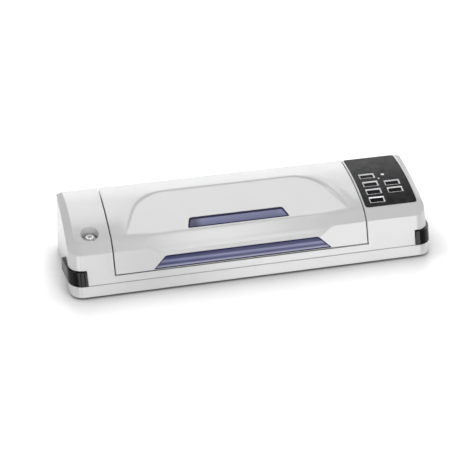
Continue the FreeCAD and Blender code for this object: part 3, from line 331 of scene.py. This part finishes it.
def soft_min(a, b, blend):
    """The lower of two heights, with a round edge where they meet."""
    share = max(blend - abs(a - b), 0.0) / blend
    return min(a, b) - share * share * blend / 4


def soft_max(a, b, blend):
    """The higher of two heights, with a round edge where they meet."""
    return -soft_min(-a, -b, blend)


def smooth_step(start, end, value):
    """0 before start, 1 beyond end and a smooth rise between them."""
    share = min(max((value - start) / (end - start), 0.0), 1.0)
    return share * share * (3 - 2 * share)


def outside_scoop(u, y):
    """How far a point in plan lies outside the scoop's floor; 1 if beside the floor, 0 if behind it."""
    aside = (abs(u) - (SCOOP_HALF - SCOOP_TAPER * (y - SCOOP_FRONT))) * SCOOP_SQUARE
    behind = y - SCOOP_BACK
    a, b = aside + SCOOP_ROUND, behind + SCOOP_ROUND
    reach = math.hypot(max(a, 0.0), max(b, 0.0))
    beside = max(a, 0.0) ** 2 / max(reach, 1e-6) ** 2
    return min(max(a, b), 0.0) + reach - SCOOP_ROUND, beside


def brow_share(u):
    """1 along the overhanging brow, fading to 0 beyond its ends."""
    return smooth_step(BROW_GONE, BROW_FULL, abs(u))


def lip(share):
    """The front edge of the bevel: the overhanging lip, or the plain edge beside it."""
    (plain_y, plain_z), (lip_y, lip_z) = BEVEL_LOW, LIP
    return plain_y + (lip_y - plain_y) * share, plain_z + (lip_z - plain_z) * share


def lid_height(u, y):
    """The height of the lid's skin behind its front edge."""
    away, beside = outside_scoop(u, y)
    floor_height = ramp(y)
    scoop = soft_max(floor_height, floor_height + WALL_SLOPE * away, 0.4)
    edge_round = 0.2 + (0.6 + 2.2 * beside) * smooth_step(-1.0, 4.0, away)
    edge_round += SIDE_ROUND * beside * smooth_step(0.0, 12.0, away)
    top = soft_min(arch(y), scoop, edge_round)
    share = brow_share(u)
    lip_y, lip_z = lip(share)
    bevel = BEVEL_LOW[1] + BEVEL_SLOPE * (y - BEVEL_LOW[0])
    bevel = soft_max(bevel, lip_z + LIP_SLOPE * (y - lip_y), 0.05 + 1.6 * share)
    rear = BACK_EDGE[1] - REAR_SLOPE * (y - BACK_EDGE[0])
    shoulder = 1.5 + 4.0 * smooth_step(108.0, 146.0, abs(u))
    return soft_min(soft_min(bevel, top, shoulder), rear, 1.3)


def steps(start, end, count):
    """Evenly spaced numbers from start up to, but not at, end."""
    return [start + (end - start) * i / count for i in range(count)]


def round_corner(before, corner, after, radius, count=4):
    """Points of an arc that replaces a corner of a polyline."""
    corner = Vector(corner)
    back, ahead = Vector(before) - corner, Vector(after) - corner
    room = 0.45 * min(back.length, ahead.length)
    half = back.angle(ahead, math.pi) / 2
    if room < 1e-4 or half > 1.55:
        return [corner.copy() for i in range(count + 1)]
    reach = min(radius / math.tan(half), room)
    start, end = corner + back.normalized() * reach, corner + ahead.normalized() * reach
    points = []
    for i in range(count + 1):
        t = i / count
        points.append(start * (1 - t) ** 2 + corner * 2 * t * (1 - t) + end * t**2)
    return points


REAR_END = BACK_EDGE[0] + (BACK_EDGE[1] - SKIRT) / REAR_SLOPE
TOP_ROWS = (steps(TOP_START, 116.0, 80) + steps(116.0, 134.0, 6) + steps(134.0, 140.5, 13)
            + steps(140.5, REAR_END, 4) + [REAR_END])


def lid_profile(u):
    """One section through the lid's skin, from its front lower edge over the top to its skirt."""
    share = max(brow_share(u), 0.004)
    tuck_z = BEVEL_LOW[1] + (TUCK - BEVEL_LOW[1]) * share
    lip_y = lip(share)[0]
    lip_z = lid_height(u, lip_y)
    low = (LEAN * LID_BOTTOM, LID_BOTTOM)
    tuck, edge = (LEAN * tuck_z, tuck_z), (lip_y, lip_z)
    inner = lip_y + 0.12 * (TOP_START - lip_y)
    points = [Vector((LEAN * z, z)) for z in steps(LID_BOTTOM, tuck_z - 1.5, 9)]
    points += round_corner(low, tuck, edge, 1.0)
    points += round_corner(tuck, edge, (inner, lid_height(u, inner)), 0.9)
    points += [Vector((y, lid_height(u, y))) for y in steps(inner, TOP_START, 14) + TOP_ROWS]
    return points


def finished_mesh(name, points, faces, material, smooth=0.6):
    """An object with smooth shading, sharp only at edges that turn by more than an angle."""
    mesh = bpy.data.meshes.new(name)
    mesh.from_pydata(points, [], faces)
    mesh.validate()
    builder = bmesh.new()
    builder.from_mesh(mesh)
    bmesh.ops.recalc_face_normals(builder, faces=builder.faces)
    builder.to_mesh(mesh)
    builder.free()
    mesh.shade_smooth()
    mesh.set_sharp_from_angle(angle=smooth)
    mesh.materials.append(material)
    obj = bpy.data.objects.new(name, mesh)
    bpy.context.collection.objects.link(obj)
    return obj


def tube_mesh(points, faces, axis_y, axis_z, radius, start, end, count=32):
    """Add a closed round bar along x to a list of points and faces."""
    first = len(points)
    for x in (start, end):
        for i in range(count):
            turn = 2 * math.pi * i / count
            points.append(spot(x, axis_y + radius * math.cos(turn), axis_z + radius * math.sin(turn)))
    for i in range(count):
        after = (i + 1) % count
        faces.append((first + i, first + after, first + count + after, first + count + i))
    faces.append(tuple(first + i for i in reversed(range(count))))
    faces.append(tuple(first + count + i for i in range(count)))


def baked(obj):
    """Replace an object's mesh by the result of its modifiers."""
    graph = bpy.context.evaluated_depsgraph_get()
    mesh = bpy.data.meshes.new_from_object(obj.evaluated_get(graph), depsgraph=graph)
    obj.modifiers.clear()
    obj.data = mesh


def round_outline(corners, radii, count=6):
    """A closed outline in plan with rounded corners."""
    outline = []
    for i, corner in enumerate(corners):
        before, after = corners[i - 1], corners[(i + 1) % len(corners)]
        outline += round_corner(before, corner, after, radii[i], count)
    return outline


def on_front(u, z, up):
    """A point over the leaning front face of the lid."""
    return spot(LID_MIDDLE + u, LEAN * z - FRONT_OUT * up, z + FRONT_RISE * up)


def on_ramp(u, along, up):
    """A point over the floor of the scoop."""
    y = RAMP_START[0] + along * math.cos(RAMP_TURN) - up * math.sin(RAMP_TURN)
    z = RAMP_START[1] + along * math.sin(RAMP_TURN) + up * math.cos(RAMP_TURN)
    return spot(LID_MIDDLE + u, y, z)


def stacked(rings, place):
    """Points and faces of a solid built from outlines at rising heights."""
    points, faces = [], []
    count = len(rings[0][0])
    for outline, up in rings:
        points += [place(a, b, up) for a, b in outline]
    for level in range(len(rings) - 1):
        for i in range(count):
            after = (i + 1) % count
            low, high = level * count, (level + 1) * count
            faces.append((low + i, low + after, high + after, high + i))
    faces.append(tuple(reversed(range(count))))
    top = (len(rings) - 1) * count
    faces.append(tuple(top + i for i in range(count)))
    return points, faces


def shrink(outline, amount):
    """An outline moved inwards by an amount, corner by corner."""
    count = len(outline)
    centre = sum(outline, Vector((0.0, 0.0))) / count
    result = []
    for i, point in enumerate(outline):
        step = 1
        while (outline[(i + step) % count] - outline[i - step]).length < 1e-6:
            step += 1
        along = outline[(i + step) % count] - outline[i - step]
        inward = Vector((-along.y, along.x)).normalized()
        if inward.dot(centre - point) < 0:
            inward = -inward
        result.append(point + inward * amount)
    return result


FRONT_WINDOW = round_outline([(-119.0, 23.4), (119.0, 23.4), (102.0, 38.4), (-102.0, 38.4)],
                             [0.5, 0.5, 7.0, 7.0])
UPPER_WINDOW = round_outline([(-68.3, 4.4), (68.3, 4.4), (62.8, 24.3), (-62.8, 24.3)],
                             [2.0, 2.0, 4.5, 4.5])


def lid():
    """The lid's shell: a smooth skin with scoop, brow and end walls, thickened inwards, with two openings."""
    columns = steps(-LID_HALF, LID_HALF, 336) + [LID_HALF]
    sections = [lid_profile(u) for u in columns]
    rows = len(sections[0])
    points = [spot(LID_MIDDLE + u, y, z) for u, section in zip(columns, sections) for y, z in section]
    faces = []
    for i in range(len(columns) - 1):
        for j in range(rows - 1):
            low = i * rows + j
            faces.append((low, low + 1, low + rows + 1, low + rows))
    end_wall_back = 124.0
    for i, x in ((0, -LID_HALF), (len(columns) - 1, LID_HALF)):
        first = len(points)
        points += [spot(LID_MIDDLE + x, end_wall_back, z) for z in (SKIRT, LID_BOTTOM)]
        faces.append(tuple(i * rows + j for j in range(rows)) + (first, first + 1))
    shell = finished_mesh("lid_skin", points, faces, WHITE)
    thick = shell.modifiers.new("thickness", "SOLIDIFY")
    thick.thickness = LID_SKIN
    thick.offset = -1.0
    cutters = []
    openings = (("front_cut", FRONT_WINDOW, on_front), ("upper_cut", UPPER_WINDOW, on_ramp))
    for name, outline, place in openings:
        cutter = finished_mesh(name, *stacked([(outline, -6.0), (outline, 3.0)], place), WHITE)
        opening = shell.modifiers.new(name, "BOOLEAN")
        opening.operation = "DIFFERENCE"
        opening.object = cutter
        cutters.append(cutter)
    baked(shell)
    for cutter in cutters:
        bpy.data.objects.remove(cutter)
    shell.data.set_sharp_from_angle(angle=0.6)
    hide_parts("lid_shell")
    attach(shell, "lid")


def hinge_bosses():
    """The two round bosses of the lid on its hinge pins."""
    points, faces = [], []
    for start in (LID_MIDDLE - LID_HALF + 2, LID_MIDDLE + LID_HALF - 14):
        tube_mesh(points, faces, HINGE_Y, HINGE_Z, HINGE_BOSS, start, start + 12)
    bosses = finished_mesh("lid_hinge_bosses", points, faces, WHITE)
    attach(bosses, "lid")


def window(name, node, outline, place, rim, top_rim, sink):
    """A tinted pane: a dark sloping rim, wider along the top, round a sunk face; the rim's dark colour is
    painted shade of the recess round the pane, deepest along the top.
    """
    middle = sum(b for _, b in outline) / len(outline)

    def face(inset):
        return [(a, b - (top_rim - rim) * (b > middle)) for a, b in shrink(outline, inset)]

    inner = shrink(outline, 0.12)
    rings = [(inner, -2.1), (inner, -0.15), (face(rim), -sink), (face(rim + 0.4), -sink)]
    points, faces = stacked(rings, place)
    pane = finished_mesh(name, points, faces, WINDOW_SHADE_RIM, smooth=0.5)
    pane.data.materials.append(VIOLET_FRONT if node == "front_window" else VIOLET_UPPER)
    count = len(outline)
    for i in [*range(2 * count, 3 * count), len(faces) - 1]:
        pane.data.polygons[i].material_index = 1
    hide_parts(node)
    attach(pane, "lid")


def loop_faces(rings, count):
    """Faces of a closed ring of closed sections, each with that many points."""
    faces = []
    for i in range(rings):
        this, after = i * count, (i + 1) % rings * count
        for j in range(count):
            next_j = (j + 1) % count
            faces.append((this + j, this + next_j, after + next_j, after + j))
    return faces


def ring_path(low, high, radius, count=10):
    """The middle line of a gasket in plan."""
    (x0, y0), (x1, y1) = low, high
    path = []
    for x, y, first in ((x1 - radius, y0 + radius, -90), (x1 - radius, y1 - radius, 0),
                        (x0 + radius, y1 - radius, 90), (x0 + radius, y0 + radius, 180)):
        for i in range(count + 1):
            turn = math.radians(first + 90 * i / count)
            out = Vector((math.cos(turn), math.sin(turn)))
            path.append((Vector((x, y)) + out * radius, out))
    return path


def gasket(name, node, body, back, front):
    """A foam ring with a round crown, from the height of its seat to the height of its crown."""
    half, shoulder = 2.85, 2.0 if front > back else -2.0
    section = [(-half, back), (half, back), (half, front - shoulder)]
    for i in range(1, 12):
        turn = math.pi * i / 12
        section.append((half * math.cos(turn), front - shoulder + shoulder * math.sin(turn)))
    section.append((-half, front - shoulder))
    path = ring_path(GASKET_LOW, GASKET_HIGH, GASKET_CORNER)
    points = []
    for middle, out in path:
        points += [spot(middle.x + out.x * a, middle.y + out.y * a, z) for a, z in section]
    ring = finished_mesh(name, points, loop_faces(len(path), len(section)), FOAM)
    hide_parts(node)
    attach(ring, body)


def pressure_strip():
    """The soft strip under the lid that presses the bag on the sealing bar."""
    corners = [(STRIP_FRONT, STRIP_HIGH), (STRIP_FRONT, STRIP_LOW), (STRIP_BACK, STRIP_LOW),
               (STRIP_BACK, STRIP_HIGH)]
    section = round_outline(corners, [0.3, 1.8, 1.8, 0.3])
    end = shrink(section, STRIP_END_ROUND)

    def place(y, z, x):
        return spot(x, y, z)

    rings = [(end, STRIP_LEFT), (section, STRIP_LEFT + STRIP_END_ROUND),
             (section, STRIP_RIGHT - STRIP_END_ROUND), (end, STRIP_RIGHT)]
    strip = finished_mesh("pressure_strip_soft", *stacked(rings, place), SILICONE)
    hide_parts("pressure_strip")
    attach(strip, "lid")


def port():
    """The accessory port's spout: a flange on the cup's floor, a waist and a rounded bead at its tip."""
    outline = [(3.0, 45.0), (5.0, 45.0), (5.0, 57.0), (6.6, 57.05), (6.6, 57.8), (6.1, 58.3), (5.3, 58.7),
               (5.0, 60.4), (5.4, 60.9), (5.7, 61.6), (5.5, 62.3), (5.0, 62.8), (4.3, 63.0), (3.4, 63.0),
               (3.0, 62.6)]
    sides = 48
    points = []
    for i in range(sides):
        turn = 2 * math.pi * i / sides
        points += [spot(PORT_X + r * math.cos(turn), PORT_Y + r * math.sin(turn), z) for r, z in outline]
    spout = finished_mesh("port_spout", points, loop_faces(sides, len(outline)), PORT)
    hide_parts("accessory_port")
    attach(spout, "base")


lid()
hinge_bosses()
port()
window("front_pane", "front_window", FRONT_WINDOW, on_front, 0.9, 1.5, 0.7)
window("upper_pane", "upper_window", UPPER_WINDOW, on_ramp, 2.2, 4.2, 0.4)
gasket("base_gasket_ring", "base_gasket", "base", 19.5, 24.5)
gasket("lid_gasket_ring", "lid_gasket", "lid", 27.8, 24.8)
pressure_strip()


# Camera

camera_data = bpy.data.cameras.new("camera")
camera_data.sensor_width = 36.0
camera_data.lens = 109.63
camera = bpy.data.objects.new("camera", camera_data)
camera.location = (-0.3975, -1.5704, 0.9735)
LOOK_AT = Vector((-0.0205, -0.0075, 0.0380))
aim = LOOK_AT - camera.location
camera.rotation_euler = aim.to_track_quat("-Z", "Y").to_euler()
bpy.context.collection.objects.link(camera)
bpy.context.scene.camera = camera


# Floor and light

FLOOR_COLOUR = (0.90, 0.90, 0.90, 1.0)
PART_MIDDLE = (0.0, 0.0, 0.05)


def floor():
    """A plain pale floor with a faint reflection and the soft shadow, deepened by a painted contact shadow
    next to the part, whiter away from the part.
    """
    mesh = bpy.data.meshes.new("floor")
    reach = 6.0
    corners = [(-reach, -reach, 0.0), (reach, -reach, 0.0), (reach, reach, 0.0), (-reach, reach, 0.0)]
    mesh.from_pydata(corners, [], [(0, 1, 2, 3)])
    ground = bpy.data.objects.new("floor", mesh)
    bpy.context.collection.objects.link(ground)
    material, tree, shader = start_material("floor")
    shader.inputs["Roughness"].default_value = 0.35
    shader.inputs["Specular IOR Level"].default_value = 0.35
    # Painted contact shadow: the floor's colour and glow darken near the part.
    contact = add_node(tree, "ShaderNodeAmbientOcclusion", samples=8, Distance=0.05, Color=FLOOR_COLOUR)
    tree.links.new(contact.outputs["Color"], shader.inputs["Base Color"])
    tree.links.new(contact.outputs["Color"], shader.inputs["Emission Color"])
    path = add_node(tree, "ShaderNodeLightPath")
    here = add_node(tree, "ShaderNodeNewGeometry")
    away = add_node(tree, "ShaderNodeVectorMath", operation="LENGTH")
    tree.links.new(here.outputs["Position"], away.inputs[0])
    far = add_node(tree, "ShaderNodeMapRange", From_Min=0.6, From_Max=2.2, To_Min=0.36, To_Max=1.1)
    tree.links.new(away.outputs["Value"], far.inputs["Value"])
    glow = add_node(tree, "ShaderNodeMapRange", To_Min=0.42)
    tree.links.new(path.outputs["Is Camera Ray"], glow.inputs["Value"])
    tree.links.new(far.outputs["Result"], glow.inputs["To Max"])
    tree.links.new(glow.outputs["Result"], shader.inputs["Emission Strength"])
    mesh.materials.append(material)


def soft_box(name, place, look_at, size, power):
    """A soft rectangular studio light."""
    data = bpy.data.lights.new(name, "AREA")
    data.shape = "RECTANGLE"
    data.size, data.size_y = size
    data.energy = power
    lamp = bpy.data.objects.new(name, data)
    lamp.location = place
    turn = (Vector(look_at) - lamp.location).to_track_quat("-Z", "Y")
    lamp.rotation_euler = turn.to_euler()
    bpy.context.collection.objects.link(lamp)


def world_light(strength):
    """An even surround: white where it is seen, half as bright in gloss and glass, faint as a light."""
    world = bpy.data.worlds.new("surround")
    bpy.context.scene.world = world
    world.use_nodes = True
    tree = world.node_tree
    background = tree.nodes["Background"]
    background.inputs["Color"].default_value = (1.0, 1.0, 1.0, 1.0)
    path = add_node(tree, "ShaderNodeLightPath")
    mirrored = add_node(tree, "ShaderNodeMath", operation="MAXIMUM")
    tree.links.new(path.outputs["Is Glossy Ray"], mirrored.inputs[0])
    tree.links.new(path.outputs["Is Transmission Ray"], mirrored.inputs[1])
    unseen = add_node(tree, "ShaderNodeMapRange", To_Min=strength, To_Max=0.5)
    tree.links.new(mirrored.outputs[0], unseen.inputs["Value"])
    level = add_node(tree, "ShaderNodeMapRange", To_Max=1.0)
    tree.links.new(path.outputs["Is Camera Ray"], level.inputs["Value"])
    tree.links.new(unseen.outputs["Result"], level.inputs["To Min"])
    tree.links.new(level.outputs["Result"], background.inputs["Strength"])


def around(bearing, height, distance=2.0):
    """A place round the part: the bearing turns from behind it to its right, in degrees."""
    turn, rise = math.radians(bearing), math.radians(height)
    flat = distance * math.cos(rise)
    return flat * math.sin(turn), flat * math.cos(turn), PART_MIDDLE[2] + distance * math.sin(rise)


floor()
world_light(0.04)
for name, bearing, height, size, power in (
        ("back_low", 5.0, 28.0, (1.8, 0.5), 9.5),
        ("back", 5.0, 42.0, (1.8, 0.5), 8.0),
        ("back_high", 15.0, 56.0, (1.2, 0.5), 6.0),
        ("back_left", -45.0, 57.0, (0.9, 0.5), 9.5),
        ("front_spot", 162.0, 56.0, (0.3, 0.3), 2.4),
        ("lip_spot", 150.0, 67.0, (0.45, 0.35), 3.4),
        ("front_right", 160.0, 13.0, (0.8, 0.4), 6.5),
        ("front", 190.0, 13.0, (0.8, 0.4), 4.5),
        ("front_left", 220.0, 13.0, (0.8, 0.4), 6.0),
        ("left", 268.0, 8.0, (0.8, 0.4), 1.5),
        ("right", 95.0, 14.0, (0.6, 0.4), 4.0),
        ("right_high", 85.0, 40.0, (0.6, 0.4), 3.0)):
    soft_box(name, around(bearing, height), PART_MIDDLE, size, power)

bpy.context.scene.view_settings.view_transform = "Standard"
